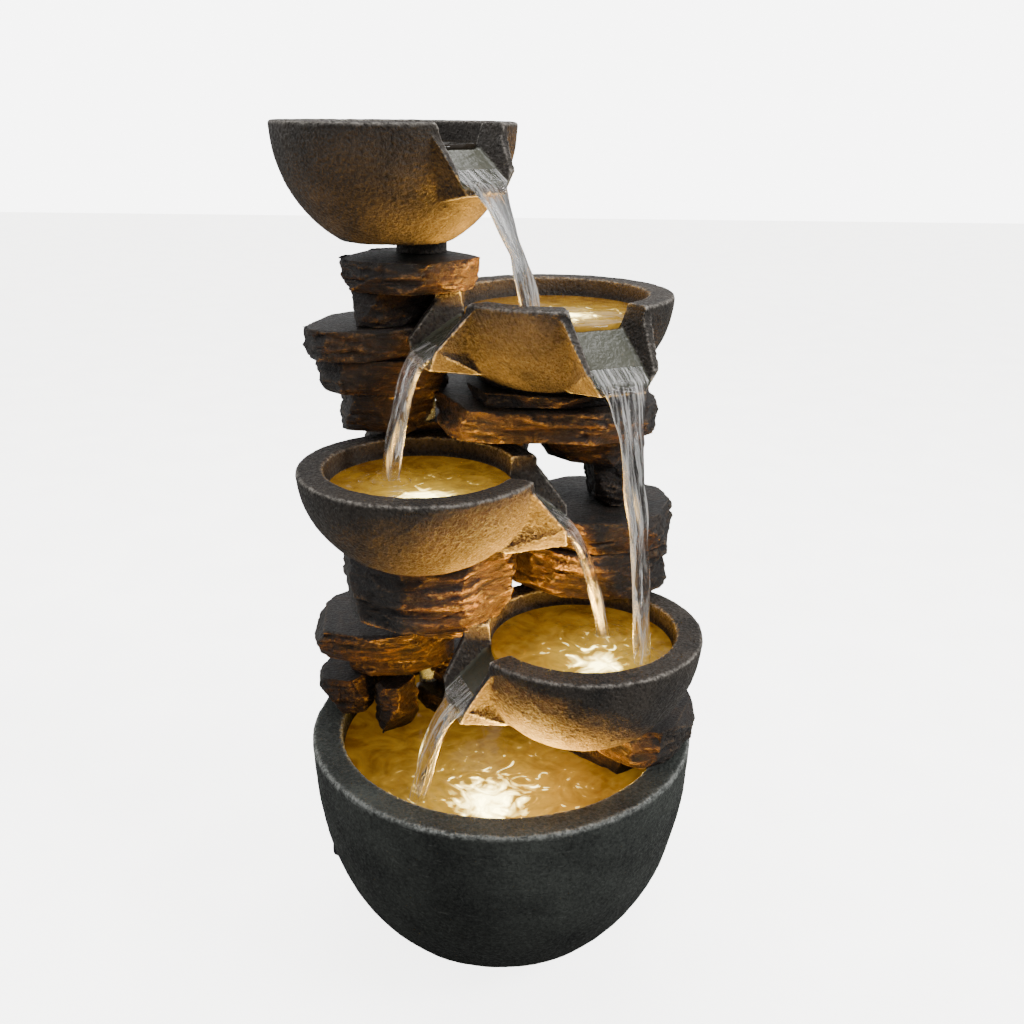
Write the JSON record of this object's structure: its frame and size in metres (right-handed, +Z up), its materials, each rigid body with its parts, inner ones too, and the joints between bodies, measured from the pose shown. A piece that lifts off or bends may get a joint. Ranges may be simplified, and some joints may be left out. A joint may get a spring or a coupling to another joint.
{
  "type": "tabletop water fountain",
  "caption": "Cascading tabletop fountain: spouted half-round bowls on a column of split-slate rocks above a deep round basin with a hidden pump and sunken lights.",
  "frame": {"origin": "centre of the foot pad's underside, on the table", "axes": "+Z up; -Y towards the viewer, where the pools are open; +X to the viewer's right"},
  "size_m": [0.2007, 0.19, 0.4035],
  "materials": {
    "bowl_resin": "stone-filled resin, stippled like cast stone",
    "basin_resin": "stone-filled resin, charcoal, scratched and pitted",
    "rock_resin": "stone-filled resin moulded as split slate, dark brown",
    "rubber": "matte black",
    "pump_plastic": "satin black moulding",
    "clear_plastic": "clear warm moulding",
    "hose_vinyl": "clear vinyl",
    "ceramic": "ground",
    "ferrite": "moulded ferrite"
  },
  "bodies": {
    "fountain": {"basin": "basin_resin", "bowl_lower": "bowl_resin", "bowl_middle": "bowl_resin", "bowl_top": "bowl_resin", "bowl_upper": "bowl_resin", "cord_grommet": "rubber", "foot_pad": "rubber", "light_basin_housing": "pump_plastic", "light_basin_lens": "clear_plastic", "light_lower_housing": "pump_plastic", "light_lower_lens": "clear_plastic", "light_middle_housing": "pump_plastic", "light_middle_lens": "clear_plastic", "light_upper_housing": "pump_plastic", "light_upper_lens": "clear_plastic", "pump_hose": "hose_vinyl", "pump_housing": "pump_plastic", "pump_lead": "rubber", "pump_shaft": "ceramic", "pump_suction_cup_left_back": "rubber", "pump_suction_cup_left_front": "rubber", "pump_suction_cup_right_back": "rubber", "pump_suction_cup_right_front": "rubber", "riser_collar": "bowl_resin", "riser_tube": "hose_vinyl", "rock_back_pier": "rock_resin", "rock_basin": "rock_resin", "rock_basin_back": "rock_resin", "rock_block": "rock_resin", "rock_block_neck": "rock_resin", "rock_cap": "rock_resin", "rock_cap_neck": "rock_resin", "rock_column": "rock_resin", "rock_ledge_lower": "rock_resin", "rock_ledge_upper": "rock_resin", "rock_left_neck": "rock_resin", "rock_left_slab": "rock_resin", "rock_lintel": "rock_resin", "rock_pillar": "rock_resin", "rock_rim_back": "rock_resin", "rock_rim_left": "rock_resin", "rock_rim_right": "rock_resin", "rock_rim_step": "rock_resin", "rock_shelf_left": "rock_resin", "rock_shelf_right": "rock_resin", "rock_shelf_top": "rock_resin", "rock_slab_lower": "rock_resin", "rock_slab_upper": "rock_resin", "top_nozzle": "pump_plastic"},
    "impeller": {"pump_impeller": "ferrite"},
    "strainer": {"pump_cover": "pump_plastic"},
    "flow_dial": {"pump_flow_dial": "clear_plastic"}
  },
  "joints": [
    {"name": "impeller_spin", "type": "hinge", "parent": "fountain", "child": "impeller", "pos_m": [-0.016, 0.016, 0.039], "axis": [0, 1, 0], "continuous": true},
    {"name": "strainer_pull", "type": "slide", "parent": "fountain", "child": "strainer", "axis": [0, -1, 0], "range_m": [0, 0.014]},
    {"name": "flow_dial_turn", "type": "hinge", "parent": "strainer", "child": "flow_dial", "pos_m": [-0.016, 0.002, 0.039], "axis": [0, 1, 0], "range_deg": [0, 90]}
  ]
}
